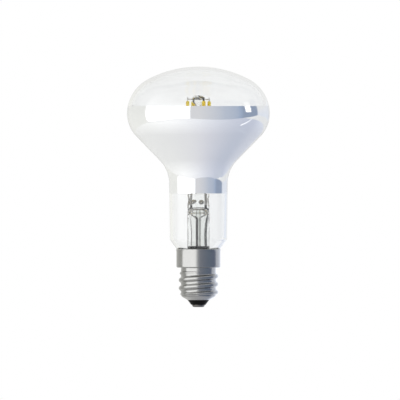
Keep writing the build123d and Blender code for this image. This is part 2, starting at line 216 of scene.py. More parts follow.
def glow_along(
    name, axis, start, end, stops, strength=1.0, number="Transmission Depth", limit=UP_TO_MIRROR
):
    """Light-giving material whose colour changes along an axis, from start to end in metres."""
    material = bpy.data.materials.new(name)
    tree, output = shader_tree(material)
    place = place_of(tree)[axis]
    along = add_node(tree, "ShaderNodeMapRange", Value=place, From_Min=start, From_Max=end)
    ramp = add_node(tree, "ShaderNodeValToRGB", Fac=along.outputs["Result"])
    ramp_stops(ramp, stops)
    glow = add_node(tree, "ShaderNodeEmission", Color=ramp.outputs["Color"], Strength=strength)
    shown = show_if(tree, glow.outputs["Emission"], number, "LESS_THAN", limit)
    tree.links.new(shown, output.inputs["Surface"])
    return material


def plain_glow(name, colour, strength=1.0, **limits):
    """Light-giving material of one colour."""
    return glow_along(name, "Z", 0, 1, [(0.0, colour), (1.0, colour)], strength, **limits)


def new_object(name, bm, material):
    """Makes an object of a finished bmesh."""
    mesh = bpy.data.meshes.new(name)
    bm.to_mesh(mesh)
    bm.free()
    mesh.materials.append(material)
    thing = bpy.data.objects.new(name, mesh)
    scene.collection.objects.link(thing)
    return thing


def stage_object(name, bm, material):
    """Makes an object of the studio, which isn't part of the bulb."""
    thing = new_object(name, bm, material)
    return thing


print("cards show up to glass faces:", MIRROR_FACES)

# %% [markdown]
# ### Upright cards
# Every large card stands over a line between two points. One edge, extruded upwards, makes it. The
# mirror shows where a card begins and ends, so each end has a foot and a top of its own.

# %% Helpers for upright cards
FLOOR_Z = -60 * MM  # the bulb hangs in its holder, clear of the floor
CORNER_STEPS = 8


def hide_from_view(card):
    """Lets only reflections and refractions see a card."""
    card.visible_camera = False
    card.visible_diffuse = False
    card.visible_shadow = False


def upright_card(name, start, end, material, feet, tops, rounding=0.0):
    """Flat card over the line between two points, with a foot and a top at each end."""
    bm = bmesh.new()
    first, last = (bm.verts.new((x, y, foot)) for (x, y), foot in zip((start, end), feet))
    edge = bm.edges.new((first, last))
    lifted = bmesh.ops.extrude_edge_only(bm, edges=[edge])
    for item in lifted["geom"]:
        if isinstance(item, bmesh.types.BMVert):
            item.co.z = tops[0] if item.co.xy == first.co.xy else tops[1]
    if rounding:
        bmesh.ops.bevel(
            bm, geom=[first], offset=rounding, offset_type="OFFSET", affect="VERTICES",
            segments=CORNER_STEPS, profile=0.5, material=-1,
        )
    hide_from_view(stage_object(name, bm, material))


print("floor below the bulb in mm:", round(-FLOOR_Z / MM))

# %% [markdown]
# ### Softbox
# A bright cloth box stands on the left and in front, up to the middle. Its lower edge drops to the
# corner, which is rounded, and a grey hem runs along it: the mirror shows that as a thin line.

# %% Softbox on the left
LEFT_X, FRONT_Y = -0.33, -0.39
SOFTBOX_END_X, SOFTBOX_END_Y = -0.093, 0.029
SOFTBOX_TOP_Z, SOFTBOX_CORNER_Z, SOFTBOX_ROUNDING = 0.4, -0.105, 0.05
SOFTBOX_STRENGTH = 1.5
WHITE = (1.0, 1.0, 1.0)
SOFTBOX_STOPS = [(0.0, WHITE), (0.55, WHITE), (1.0, (0.6, 0.6, 0.6))]
HEM_HEIGHT, HEM_GREY = 0.007, (0.66, 0.66, 0.65)

softbox_glow = glow_along("softbox_cloth", "Z", 0, SOFTBOX_TOP_Z, SOFTBOX_STOPS, SOFTBOX_STRENGTH)
hem_glow = plain_glow("softbox_hem", HEM_GREY)
left_corner = (LEFT_X, FRONT_Y)
left_joint, front_joint = (LEFT_X, SOFTBOX_END_Y), (SOFTBOX_END_X, FRONT_Y)
softbox_tops = (SOFTBOX_TOP_Z, SOFTBOX_TOP_Z)
left_feet, front_feet = (FLOOR_Z, SOFTBOX_CORNER_Z), (SOFTBOX_CORNER_Z, FLOOR_Z)
left_hem, front_hem = ([foot - HEM_HEIGHT for foot in feet] for feet in (left_feet, front_feet))
upright_card(
    "softbox_left", left_joint, left_corner, softbox_glow, left_feet, softbox_tops, SOFTBOX_ROUNDING
)
upright_card("softbox_front", left_corner, front_joint, softbox_glow, front_feet, softbox_tops)
upright_card("hem_left", left_joint, left_corner, hem_glow, left_hem, left_feet)
upright_card("hem_front", left_corner, front_joint, hem_glow, front_hem, front_feet)
print("softbox strength:", SOFTBOX_STRENGTH)

# %% [markdown]
# ### Wall, window and lamp
# A dull blue wall runs from the middle to the far right and grows towards its corner. A bright window
# stands just before it, and a strip lamp lies on the floor. The mirror shows them on the right, as a
# small white shape and a curved streak.

# %% Blue wall and its lights
RIGHT_X, WALL_END_Y = 2.4, 1.1
WALL_LOW_FOOT_Z, WALL_LOW_TOP_Z, WALL_TOP_Z = -0.47, 0.3, 1.3
WALL_STOPS = [
    (0.04, (0.74, 0.74, 0.76)),
    (0.19, (0.52, 0.57, 0.67)),
    (0.62, (0.37, 0.45, 0.6)),
    (1.0, (0.31, 0.37, 0.49)),
]
WINDOW_X, WINDOW_FRONT_Y, WINDOW_BACK_Y = RIGHT_X - 0.01, -0.2, 0.32
WINDOW_FOOT_Z, WINDOW_TOP_Z = 0.2, 1.2
LAMP_START, LAMP_END = (0.19, -0.03), (0.53, 0.09)
LAMP_TOP_Z, LAMP_STRENGTH = FLOOR_Z + 0.015, 1.6

wall_glow = glow_along("blue_wall", "X", SOFTBOX_END_X, RIGHT_X, WALL_STOPS)
window_glow = plain_glow("window_pane", WHITE, SOFTBOX_STRENGTH)
lamp_glow = plain_glow("strip_lamp", WHITE, LAMP_STRENGTH)
right_corner, right_joint = (RIGHT_X, FRONT_Y), (RIGHT_X, WALL_END_Y)
wall_feet, wall_tops = (FLOOR_Z, WALL_LOW_FOOT_Z), (WALL_LOW_TOP_Z, WALL_TOP_Z)
right_feet, right_tops = (WALL_LOW_FOOT_Z, FLOOR_Z), (WALL_TOP_Z, WALL_TOP_Z)
upright_card("wall_front", front_joint, right_corner, wall_glow, wall_feet, wall_tops)
upright_card("wall_right", right_corner, right_joint, wall_glow, right_feet, right_tops)
window_ends = ((WINDOW_X, WINDOW_FRONT_Y), (WINDOW_X, WINDOW_BACK_Y))
window_feet, window_tops = (WINDOW_FOOT_Z, WINDOW_FOOT_Z), (WINDOW_TOP_Z, WINDOW_TOP_Z)
upright_card("window", *window_ends, window_glow, window_feet, window_tops)
on_floor = (FLOOR_Z, FLOOR_Z)
upright_card("strip_lamp", LAMP_START, LAMP_END, lamp_glow, on_floor, (LAMP_TOP_Z, LAMP_TOP_Z))
print("wall ends at x in m:", RIGHT_X)

# %% [markdown]
# ### Cards behind
# Two pale cards close the ring behind the bulb, warm grey on the left and lavender on the right. They
# tint the outermost edges of mirror and glass.

# %% Pale cards behind
BACK_LEFT_START, BACK_RIGHT_END = (-0.12, 0.6), (0.5, 1.7)
BACK_LEFT_STOPS = [(0.0, (0.93, 0.93, 0.89)), (1.0, (0.8, 0.8, 0.78))]
BACK_RIGHT_STOPS = [(0.0, (0.81, 0.85, 0.93)), (1.0, (0.88, 0.89, 0.92))]
back_left_glow = glow_along("grey_card", "Z", 0, SOFTBOX_TOP_Z, BACK_LEFT_STOPS)
back_right_glow = glow_along("lavender_card", "Z", 0, WALL_LOW_TOP_Z, BACK_RIGHT_STOPS)
low_tops = (WALL_LOW_TOP_Z, WALL_LOW_TOP_Z)
upright_card("back_left", BACK_LEFT_START, left_joint, back_left_glow, on_floor, softbox_tops)
upright_card("back_right", right_joint, BACK_RIGHT_END, back_right_glow, on_floor, low_tops)

# %% [markdown]
# ### A gobo for the lamp
# The hollow curve above the neck would show the strip lamp a second time. Photographers hold a small
# card, a gobo, between lamp and object for that. This one has the colour of the shade round it, and
# shows only to rays that come from the mirror close by.

# %% Gobo beside the neck
GOBO_X, GOBO_FRONT_Y, GOBO_BACK_Y = 40 * MM, -22 * MM, 4 * MM
GOBO_FOOT_Z, GOBO_TOP_Z, GOBO_REACH = 18 * MM, 37.5 * MM, 38 * MM
GOBO_LAVENDER = (0.62, 0.66, 0.755, 1)
gobo_glow = bpy.data.materials.new("gobo_lavender")
tree, output = shader_tree(gobo_glow)
glow = add_node(tree, "ShaderNodeEmission", Color=GOBO_LAVENDER)
shown = show_if(tree, glow.outputs["Emission"], "Ray Length", "LESS_THAN", GOBO_REACH)
shown = show_if(tree, shown, "Transmission Depth", "LESS_THAN", UP_TO_MIRROR)
shown = show_if(tree, shown, "Transmission Depth", "GREATER_THAN", MIRROR_FACES - 0.5)
tree.links.new(shown, output.inputs["Surface"])
gobo_ends = ((GOBO_X, GOBO_FRONT_Y), (GOBO_X, GOBO_BACK_Y))
upright_card("gobo", *gobo_ends, gobo_glow, (GOBO_FOOT_Z, GOBO_FOOT_Z), (GOBO_TOP_Z, GOBO_TOP_Z))
print("gobo beside the neck in mm:", round(GOBO_X / MM, 1))

# %% [markdown]
# ### Pale room
# Above the cards the reflections see a plain pale room, a little darker on the left. It is what draws
# the edges of the clear glass: there the glass reflects most, and on a white page only a grey
# reflection shows.

# %% Room round the stage
ROOM_RADIUS, ROOM_MERIDIANS, ROOM_RINGS = 4.0, 48, 24
ROOM_STOPS = [(0.0, (0.72, 0.72, 0.7)), (0.45, (0.84, 0.84, 0.83)), (1.0, (0.88, 0.89, 0.9))]
bm = bmesh.new()
bmesh.ops.create_uvsphere(bm, u_segments=ROOM_MERIDIANS, v_segments=ROOM_RINGS, radius=ROOM_RADIUS)
room_glow = glow_along("pale_room", "X", -ROOM_RADIUS, ROOM_RADIUS, ROOM_STOPS)
hide_from_view(stage_object("room", bm, room_glow))
print("room radius in m:", ROOM_RADIUS)

# %% [markdown]
# ### Small cards round the cap
# Plated metal needs more contrast than glass, or it looks like grey paint. So a ring of low curved cards
# stands close round the cap: bright, dark blue and pale, in the same order as the large ones. Each is
# one upright edge, spun about the bulb's axis. Light Path's Ray Length keeps them for the cap alone:
# every other piece is further away.

# %% Curved cards round the cap
RING_RADIUS, RING_FOOT_Z, RING_TOP_Z, RING_REACH = 20 * MM, -15 * MM, 22 * MM, 24 * MM
RING_WALL_START = -0.2 * RING_RADIUS
RING_WALL_STOPS = [
    (0.0, (0.8, 0.8, 0.8)),
    (0.12, (0.35, 0.36, 0.38)),
    (0.24, (0.19, 0.2, 0.235)),
    (0.55, (0.15, 0.17, 0.215)),
    (0.8, (0.12, 0.15, 0.2)),
    (1.0, (0.1, 0.12, 0.18)),
]
RING_STRENGTH, RING_PALE_STRENGTH = 2.4, 1.25
RING_GREY, RING_PALE = (0.74, 0.74, 0.71), (0.85, 0.89, 1.0)
CURVED_CARD_STEPS = 24
RING_BRIGHT_STOPS = [(0.0, (0.15, 0.15, 0.15)), (0.35, (0.5, 0.5, 0.5)), (0.55, WHITE), (1.0, WHITE)]


def curved_card(name, first_angle, last_angle, radius, foot, top, material):
    """Card on an arc about the bulb's axis; angles in degrees from the camera's side to the right."""
    bm = bmesh.new()
    ends = [bm.verts.new((0, -radius, height)) for height in (foot, top)]
    edge = bm.edges.new(ends)
    to_start = Matrix.Rotation(radians(first_angle), 3, "Z")
    bmesh.ops.rotate(bm, verts=ends, cent=(0, 0, 0), matrix=to_start)
    bmesh.ops.spin(
        bm, geom=[*ends, edge], cent=(0, 0, 0), axis=(0, 0, 1), dvec=(0, 0, 0),
        angle=radians(last_angle - first_angle), steps=CURVED_CARD_STEPS, use_duplicate=False,
    )
    card = stage_object(name, bm, material)
    hide_from_view(card)
    return card


near = {"number": "Ray Length", "limit": RING_REACH}
ring_heights, wall_widths = (RING_FOOT_Z, RING_TOP_Z), (RING_WALL_START, RING_RADIUS)
ring_grey = plain_glow("ring_grey", RING_GREY, **near)
ring_bright = glow_along("ring_bright", "Z", *ring_heights, RING_BRIGHT_STOPS, RING_STRENGTH, **near)
ring_wall = glow_along("ring_wall", "X", *wall_widths, RING_WALL_STOPS, RING_STRENGTH, **near)
ring_pale = plain_glow("ring_pale", RING_PALE, RING_PALE_STRENGTH, **near)
RING_CARDS = (
    ("ring_grey", -180, -76, ring_grey),
    ("ring_bright", -76, -10, ring_bright),
    ("ring_wall", -10, 86, ring_wall),
    ("ring_pale", 86, 180, ring_pale),
)
for name, first_angle, last_angle, material in RING_CARDS:
    card = curved_card(name, first_angle, last_angle, RING_RADIUS, *ring_heights, material)
    card.visible_transmission = False
print("cards round the cap:", len(RING_CARDS))

# %% [markdown]
# ### Black flags for the stem
# Clear glass on a white page only shows where it bends light from something dark. Photographers stand
# two black flags beside the background for that, and hang one above. Here they are meant for the thick
# glass of stem and pillar alone, so they show only to rays that have passed more faces than the thin
# envelope has.

# %% Flags beside the background
FLAG_RADIUS, FLAG_TOP_Z, FLAG_BLACK = 0.12, 0.25, (0.02, 0.02, 0.018, 1)
FLAGS = (("flag_left", -98, -122), ("flag_right", 98, 150))
DISC_STEPS = 64


def level_disc(name, radius, height, material):
    """Level disc of the studio about the bulb's axis."""
    bm = bmesh.new()
    bmesh.ops.create_circle(bm, cap_ends=True, segments=DISC_STEPS, radius=radius)
    bmesh.ops.translate(bm, verts=bm.verts, vec=(0, 0, height))
    return stage_object(name, bm, material)


flag_cloth = bpy.data.materials.new("flag_black")
tree, output = shader_tree(flag_cloth)
black = add_node(tree, "ShaderNodeEmission", Color=FLAG_BLACK)
shown = show_if(tree, black.outputs["Emission"], "Transmission Depth", "GREATER_THAN", PAST_ENVELOPE)
tree.links.new(shown, output.inputs["Surface"])
for name, first_angle, last_angle in FLAGS:
    flag = curved_card(name, first_angle, last_angle, FLAG_RADIUS, FLOOR_Z, FLAG_TOP_Z, flag_cloth)
    flag.visible_glossy = False
flag = level_disc("flag_above", FLAG_RADIUS, FLAG_TOP_Z, flag_cloth)
hide_from_view(flag)
flag.visible_glossy = False
print("flags beside the background:", len(FLAGS), "and one above the bulb")

# %% [markdown]
# ### Shade under the bulb
# The silvered flank looks down, and its curved ends look down and forwards. A wide card far below gives
# them what the photo shows there: nearly white on the left, running into lavender shade on the right,
# and brighter at the ends. A mirror shows a point of the card where its surface faces half way between
# the viewer in front and that point. So the card is painted by this half-way direction: one row of
# colours for the straight flank, one for its ends, both from the left side of the bulb to the right.

# %% Shade card below
SHADE_Z, SHADE_RADIUS, SHADE_STRENGTH = -0.6, 3.0, 1.25
MIRROR_CENTRE, VIEW_DIRECTION = (0, 0, 0.055), (0, 1, 0)
FLANK_DOWN, END_DOWN = (sin(radians(angle)) for angle in (44.2, 16))  # how far they face downwards
FLANK_STOPS = [
    (0.0, (0.73, 0.73, 0.71)),
    (0.3, (0.7, 0.7, 0.69)),
    (0.45, (0.67, 0.67, 0.68)),
    (0.56, (0.59, 0.59, 0.64)),
    (0.72, (0.4, 0.44, 0.53)),
    (0.82, (0.51, 0.53, 0.6)),
    (1.0, (0.6, 0.62, 0.68)),
]
END_STOPS = [
    (0.0, (0.8, 0.8, 0.78)),
    (0.2, (0.83, 0.83, 0.81)),
    (0.32, (0.93, 0.93, 0.92)),
    (0.45, (0.83, 0.83, 0.84)),
    (0.6, (0.6, 0.62, 0.69)),
    (0.78, (0.42, 0.45, 0.55)),
    (0.85, (0.61, 0.64, 0.72)),
    (1.0, (0.65, 0.68, 0.75)),
]
shade_glow = glow_along("lavender_shade", "X", -pi / 2, pi / 2, FLANK_STOPS, SHADE_STRENGTH)
tree = shade_glow.node_tree
along_flank, around = tree.nodes["Color Ramp"], tree.nodes["Map Range"]
along_flank.color_ramp.interpolation = "B_SPLINE"
along_end = add_node(tree, "ShaderNodeValToRGB", Fac=around.outputs["Result"])
ramp_stops(along_end, END_STOPS, "B_SPLINE")

half_way = tree.nodes["Texture Coordinate"].outputs["Object"]
for taken_off in (MIRROR_CENTRE, VIEW_DIRECTION):
    rest = add_node(tree, "ShaderNodeVectorMath", half_way, taken_off, operation="SUBTRACT")
    unit = add_node(tree, "ShaderNodeVectorMath", rest.outputs["Vector"], operation="NORMALIZE")
    half_way = unit.outputs["Vector"]
split = tree.nodes["Separate XYZ"]
tree.links.new(half_way, split.inputs["Vector"])
forwards = reckon(tree, "MULTIPLY", split.outputs["Y"], -1)
side_angle = reckon(tree, "ARCTAN2", split.outputs["X"], forwards)
tree.links.new(side_angle, around.inputs["Value"])
down = split.outputs["Z"]
to_end = add_node(tree, "ShaderNodeMapRange", Value=down, From_Min=-FLANK_DOWN, From_Max=-END_DOWN)
flank_colour, end_colour = along_flank.outputs["Color"], along_end.outputs["Color"]
shade = mix_colours(tree, to_end.outputs["Result"], flank_colour, end_colour)
tree.links.new(shade, tree.nodes["Emission"].inputs["Color"])
hide_from_view(level_disc("shade_card", SHADE_RADIUS, SHADE_Z, shade_glow))
print("shade card below the bulb in m:", -SHADE_Z)

# %% [markdown]
# ### Floor
# Seen straight on, or through clear glass, the floor is plain white paper that keeps the bulb's shadow
# near the middle and runs out into the white world. The mirror looks past it to the shade card.

# %% Floor
FLOOR_RADIUS = 3.0
PAPER_NEAR, PAPER_FAR, PAPER_WHITE = 0.15, 0.45, (0.93, 0.93, 0.93, 1)
floor_material = bpy.data.materials.new("floor_paper")
tree, output = shader_tree(floor_material)
place = add_node(tree, "ShaderNodeTexCoord").outputs["Object"]
distance = add_node(tree, "ShaderNodeVectorMath", place, operation="LENGTH").outputs["Value"]
fade = add_node(tree, "ShaderNodeMapRange", Value=distance, From_Min=PAPER_NEAR, From_Max=PAPER_FAR)
paper = add_node(tree, "ShaderNodeBsdfDiffuse", Color=PAPER_WHITE).outputs["BSDF"]
bright = add_node(tree, "ShaderNodeEmission", Color=(*WHITE, 1), Strength=1.0).outputs["Emission"]
plain = add_node(tree, "ShaderNodeMixShader", fade.outputs["Result"], paper, bright).outputs["Shader"]

through_glass = add_node(tree, "ShaderNodeLightPath").outputs["Is Transmission Ray"]
past_mirror = show_if(tree, plain, "Transmission Depth", "GREATER_THAN", UP_TO_MIRROR)
shown = add_node(tree, "ShaderNodeMixShader", through_glass, plain, past_mirror)
tree.links.new(shown.outputs["Shader"], output.inputs["Surface"])
floor = level_disc("floor", FLOOR_RADIUS, FLOOR_Z, floor_material)
floor.visible_glossy = False
print("floor radius in m:", FLOOR_RADIUS)

# %% [markdown]
# ## Finishes
# Each slot of the record gets one material. No real surface is quite even: glass carries faint smears,
# plated metal has soft clouds, silicone is mottled. Two small node groups make such changes for all of
# them: one mixes two colours by a soft noise, the other turns the noise into a value between two limits.

# %% Node groups for uneven surfaces
NOISE_DETAIL, NOISE_ROUGHNESS = 3.0, 0.55
NOISE_LOW, NOISE_HIGH = 0.3, 0.7  # nearly all of the noise lies between them


def new_group(name, kind, inputs, result):
    """Empty node group with a scale, and with inputs and a result of one kind of socket."""
    group = bpy.data.node_groups.new(name, "ShaderNodeTree")
    group.interface.new_socket("Scale", in_out="INPUT", socket_type="NodeSocketFloat")
    for socket in inputs:
        group.interface.new_socket(socket, in_out="INPUT", socket_type=kind)
    group.interface.new_socket(result, in_out="OUTPUT", socket_type=kind)
    return group, group.nodes.new("NodeGroupInput"), group.nodes.new("NodeGroupOutput")


def soft_noise(tree, source):
    """Noise on Object coordinates, with its scale from the group's own input."""
    place = add_node(tree, "ShaderNodeTexCoord").outputs["Object"]
    noise = add_node(
        tree, "ShaderNodeTexNoise", Vector=place, Scale=source.outputs["Scale"],
        Detail=NOISE_DETAIL, Roughness=NOISE_ROUGHNESS,
    )
    return noise.outputs["Fac"]


clouded_colour, source, sink = new_group(
    "clouded_colour", "NodeSocketColor", ("First", "Second"), "Color"
)
noise = soft_noise(clouded_colour, source)
colour = mix_colours(clouded_colour, noise, source.outputs["First"], source.outputs["Second"])
clouded_colour.links.new(colour, sink.inputs["Color"])

clouded_value, source, sink = new_group("clouded_value", "NodeSocketFloat", ("Low", "High"), "Value")
value = add_node(
    clouded_value, "ShaderNodeMapRange", Value=soft_noise(clouded_value, source),
    From_Min=NOISE_LOW, From_Max=NOISE_HIGH, To_Min=source.outputs["Low"], To_Max=source.outputs["High"],
)
clouded_value.links.new(value.outputs["Result"], sink.inputs["Value"])
print("node groups:", [group.name for group in bpy.data.node_groups])

# %% [markdown]
# ### One helper for every finish
# A finish is a Principled shader with these two groups on its colour and its roughness. All its other
# sockets keep plain values, so a finish can be one row of a table.


# %% Helper for a clouded finish
def clouded_finish(slot, colours, colour_scale, roughness, roughness_scale, sockets):
    """Principled material whose colour and roughness drift softly."""
    material = bpy.data.materials.new(slot)
    tree, output = shader_tree(material)
    first, second = ((*colour, 1) for colour in colours)
    low, high = roughness
    colour = add_node(
        tree, "ShaderNodeGroup", node_tree=clouded_colour, Scale=colour_scale, First=first, Second=second
    )
    rough = add_node(
        tree, "ShaderNodeGroup", node_tree=clouded_value, Scale=roughness_scale, Low=low, High=high
    )
    shader = add_node(
        tree, "ShaderNodeBsdfPrincipled", Base_Color=colour.outputs["Color"],
        Roughness=rough.outputs["Value"], **sockets,
    )
    tree.links.new(shader.outputs["BSDF"], output.inputs["Surface"])
    return material


print("groups in every finish:", clouded_colour.name, clouded_value.name)

# %% [markdown]
# ### Glass, mirror and metals
# The clear glass takes a few percent of the light at each pass, which is why the bulb stands out from
# a white page at all. The mirror is evaporated aluminium, the cap is nickel plated, and the wires are
# drawn nickel, duller and darker.

# %% Finishes of all slots
# Rows: two colours and the scale of their noise, limits of roughness and its scale, other sockets
FINISH_ROWS = {
    "clear_glass": (
        [(0.95, 0.955, 0.955), (0.96, 0.965, 0.965)], 60, (0.0, 0.004), 90,
        {"Transmission_Weight": 1.0, "IOR": 1.5},
    ),
    "stem_glass": (
        [(0.93, 0.94, 0.93), (0.95, 0.96, 0.95)], 120, (0.0, 0.01), 200,
        {"Transmission_Weight": 1.0, "IOR": 1.54},
    ),
    "mirror_film": (
        [(0.9, 0.905, 0.92), (0.93, 0.935, 0.94)], 45, (0.03, 0.06), 70, {"Metallic": 1.0},
    ),
    "cap_metal": (
        [(0.27, 0.27, 0.265), (0.32, 0.32, 0.31)], 220, (0.2, 0.27), 350,
        {"Metallic": 1.0, "Coat_Weight": 1.0, "Coat_Roughness": 0.25},
    ),
    "nickel_wire": (
        [(0.55, 0.54, 0.52), (0.66, 0.65, 0.63)], 900, (0.25, 0.4), 900, {"Metallic": 1.0},
    ),
    "dark_wire": (
        [(0.025, 0.022, 0.02), (0.05, 0.045, 0.04)], 900, (0.4, 0.55), 900, {"Metallic": 0.6},
    ),
    # contact_metal: its dark colour is painted shade for the dark that the silvery contact reflects
    "contact_metal": (
        [(0.12, 0.115, 0.11), (0.2, 0.19, 0.18)], 700, (0.25, 0.45), 500, {"Metallic": 1.0},
    ),
    # phosphor: its weak emission is a painted glow, standing in for the yellow light phosphor gives under
    # daylight
    "phosphor": (
        [(0.93, 0.56, 0.01), (0.97, 0.66, 0.02)], 700, (0.5, 0.65), 900,
        {"Specular_IOR_Level": 0.2, "Emission_Color": (1.0, 0.75, 0.0, 1), "Emission_Strength": 0.18},
    ),
    "insulator_black": (
        [(0.002, 0.002, 0.0018), (0.005, 0.005, 0.0045)], 500, (0.3, 0.45), 600,
        {"Specular_IOR_Level": 0.06},
    ),
    "cement": ([(0.74, 0.7, 0.62), (0.82, 0.79, 0.72)], 900, (0.8, 0.95), 900, {}),
    "circuit_board": ([(0.76, 0.78, 0.74), (0.82, 0.83, 0.8)], 600, (0.4, 0.55), 600, {}),
    "chip_black": ([(0.02, 0.02, 0.02), (0.035, 0.035, 0.035)], 900, (0.5, 0.65), 900, {}),
    "capacitor_sleeve": ([(0.05, 0.06, 0.08), (0.07, 0.08, 0.1)], 500, (0.25, 0.4), 500, {}),
    "resistor_coat": ([(0.28, 0.41, 0.3), (0.35, 0.48, 0.37)], 900, (0.55, 0.75), 900, {}),
}
finishes = {slot: clouded_finish(slot, *row) for slot, row in FINISH_ROWS.items()}
print("finishes:", len(finishes))

# %% [markdown]
# ### Two yellows of the filaments
# The silicone is thick over a strip's broad faces, where it looks orange, and thin along its edges, where
# more light comes through and it looks lemon yellow. Broad faces point away from the bulb's axis or
# towards it, so the dot product of the normal and that direction tells them apart. Phosphor also turns
# the blue of daylight into yellow; the finish has a weak painted glow of its own that stands in for it.

# %% Lemon edges of the filament strips
EDGE_YELLOW = (0.93, 0.82, 0.04, 1)
tree = finishes["phosphor"].node_tree
base = tree.nodes["Principled BSDF"].inputs["Base Color"]
broad_orange = base.links[0].from_socket
place = add_node(tree, "ShaderNodeTexCoord").outputs["Object"]
level = add_node(tree, "ShaderNodeVectorMath", place, (1, 1, 0), operation="MULTIPLY")
outwards = add_node(tree, "ShaderNodeVectorMath", level.outputs["Vector"], operation="NORMALIZE")
normal = add_node(tree, "ShaderNodeNewGeometry").outputs["Normal"]
facing = add_node(
    tree, "ShaderNodeVectorMath", outwards.outputs["Vector"], normal, operation="DOT_PRODUCT"
)
broadness = reckon(tree, "ABSOLUTE", facing.outputs["Value"])
tree.links.new(mix_colours(tree, broadness, EDGE_YELLOW, broad_orange), base)
print("edge colour of the filaments:", EDGE_YELLOW[:3])

# %% [markdown]
# ### Oxide on the wires
# Wires that were in the flame when the glass was melted turned black. That is the arch over the bead
# with the two tabs that it joins, and the long run of one lead in the stem. The other lead and the
# bends at the press stayed bright, but both leads are black again where they enter the press. So each
# wire finish mixes a bright and a black colour by a mask of the place: the lead's mask goes by height
# and side, the tabs' by height and by the quarter of the circle, which the sign of X times Y tells.

# %% Black and bright stretches of the wires
BRIGHT_WIRE, BLACK_WIRE = (0.85, 0.84, 0.82, 1), (0.03, 0.027, 0.024, 1)
OXIDE_LOW_Z, OXIDE_HIGH_Z, BEAD_Z = 31.0 * MM, 32.2 * MM, 60 * MM
BURNT_Z, BURNT_HALF = 34.9 * MM, 0.8 * MM


def recolour(tree, mask, colour):
    """Lays a second colour over a finish where a mask is 1."""
    base = tree.nodes["Principled BSDF"].inputs["Base Color"]
    tree.links.new(mix_colours(tree, mask, base.links[0].from_socket, colour), base)


tree = finishes["dark_wire"].node_tree
place = place_of(tree)
height, right_lead = place["Z"], reckon(tree, "GREATER_THAN", place["X"], 0)
rise = add_node(tree, "ShaderNodeMapRange", Value=height, From_Min=OXIDE_LOW_Z, From_Max=OXIDE_HIGH_Z)
bright = reckon(tree, "MAXIMUM", rise.outputs["Result"], right_lead)
bright = reckon(tree, "SUBTRACT", bright, reckon(tree, "COMPARE", height, BURNT_Z, BURNT_HALF))
bright = reckon(tree, "MAXIMUM", bright, 0)
below_bead = reckon(tree, "LESS_THAN", height, BEAD_Z)
recolour(tree, reckon(tree, "MULTIPLY", bright, below_bead), BRIGHT_WIRE)

tree = finishes["nickel_wire"].node_tree
place = place_of(tree)
arch_quarter = reckon(tree, "LESS_THAN", reckon(tree, "MULTIPLY", place["X"], place["Y"]), 0)
above_bead = reckon(tree, "GREATER_THAN", place["Z"], BEAD_Z)
recolour(tree, reckon(tree, "MULTIPLY", arch_quarter, above_bead), BLACK_WIRE)
print("wires bright from mm:", round(OXIDE_HIGH_Z / MM, 1))

# %% [markdown]
# ### Painted shade on the pockets, and a black band on the stem
# The press's air pockets get painted shade: their skin, which lies nearer to the middle than any
# other glass at that height, is painted darker. A thin black band is painted on the glass just above
# the black plug at the stem's foot.

# %% Dark places of the stem's glass
POCKET_SHADE, POCKET_SHADE_Z, POCKET_SHADE_HALF, POCKET_SHADE_DEPTH = (0.4, 0.38, 0.35, 1), 36.7 * MM, 1.5 * MM, 1.2 * MM
FOOT_BAND_BLACK, FOOT_BAND_Z, FOOT_BAND_HALF = (0.008, 0.008, 0.007, 1), 20.9 * MM, 0.7 * MM

tree = finishes["stem_glass"].node_tree
place = place_of(tree)
pocket_height = reckon(tree, "COMPARE", place["Z"], POCKET_SHADE_Z, POCKET_SHADE_HALF)
near_middle = reckon(tree, "COMPARE", place["Y"], 0, POCKET_SHADE_DEPTH)
# painted shade: the air pockets' skin is painted grey-brown
recolour(tree, reckon(tree, "MULTIPLY", pocket_height, near_middle), POCKET_SHADE)
# a thin black band painted round the stem's glass just above its foot
recolour(tree, reckon(tree, "COMPARE", place["Z"], FOOT_BAND_Z, FOOT_BAND_HALF), FOOT_BAND_BLACK)
print("black on the stem's foot up to mm:", round((FOOT_BAND_Z + FOOT_BAND_HALF) / MM, 1))

# %% [markdown]
# ### CAD nodes that stay
# Wires, tabs, the insulator, the contact and the driver already have their true shapes. They keep
# their solids and only change their plain grey for the finish of their slot.

# %% Give every CAD node its finish
slot_of = {row["node"]: row["material_slot"] for row in frame["record"]["subparts"]}
for name, slot in slot_of.items():
    node_mesh = bpy.data.objects[name].data
    node_mesh.materials.clear()
    node_mesh.materials.append(finishes[slot])
print("nodes with a finish:", len(slot_of))

# %% [markdown]
# ## Turned pieces
# Glass bulbs and drawn caps are round about one axis. Blender can turn a half outline into such a
# piece with spin. The outline itself starts as one vertex: spun about a centre it leaves an arc, and
# extruded it leaves a straight run. So the arcs are true arcs, as in the drawing of the mould.

# %% Outline and turning helpers
WELD = 0.001 * MM
SHARP_ANGLE = 35  # edges that bend more stay sharp


def arc(bm, start, centre, angle, steps):
    """Spins one vertex by degrees about a centre (radius, height) and gives the arc's last vertex."""
    made = bmesh.ops.spin(
        bm, geom=[start], cent=(centre[0], 0, centre[1]), axis=(0, 1, 0), dvec=(0, 0, 0),
        angle=radians(angle), steps=steps, use_duplicate=False,
    )
    return next(item for item in made["geom_last"] if isinstance(item, bmesh.types.BMVert))


def run(bm, start, end, steps):
    """Extrudes one vertex in a straight run to a point (radius, height) and gives the last vertex."""
    stride = (Vector((end[0], 0, end[1])) - start.co) / steps
    for _ in range(steps):
        start = bmesh.ops.extrude_vert_indiv(bm, verts=[start])["verts"][0]
        bmesh.ops.translate(bm, verts=[start], vec=stride)
    return start


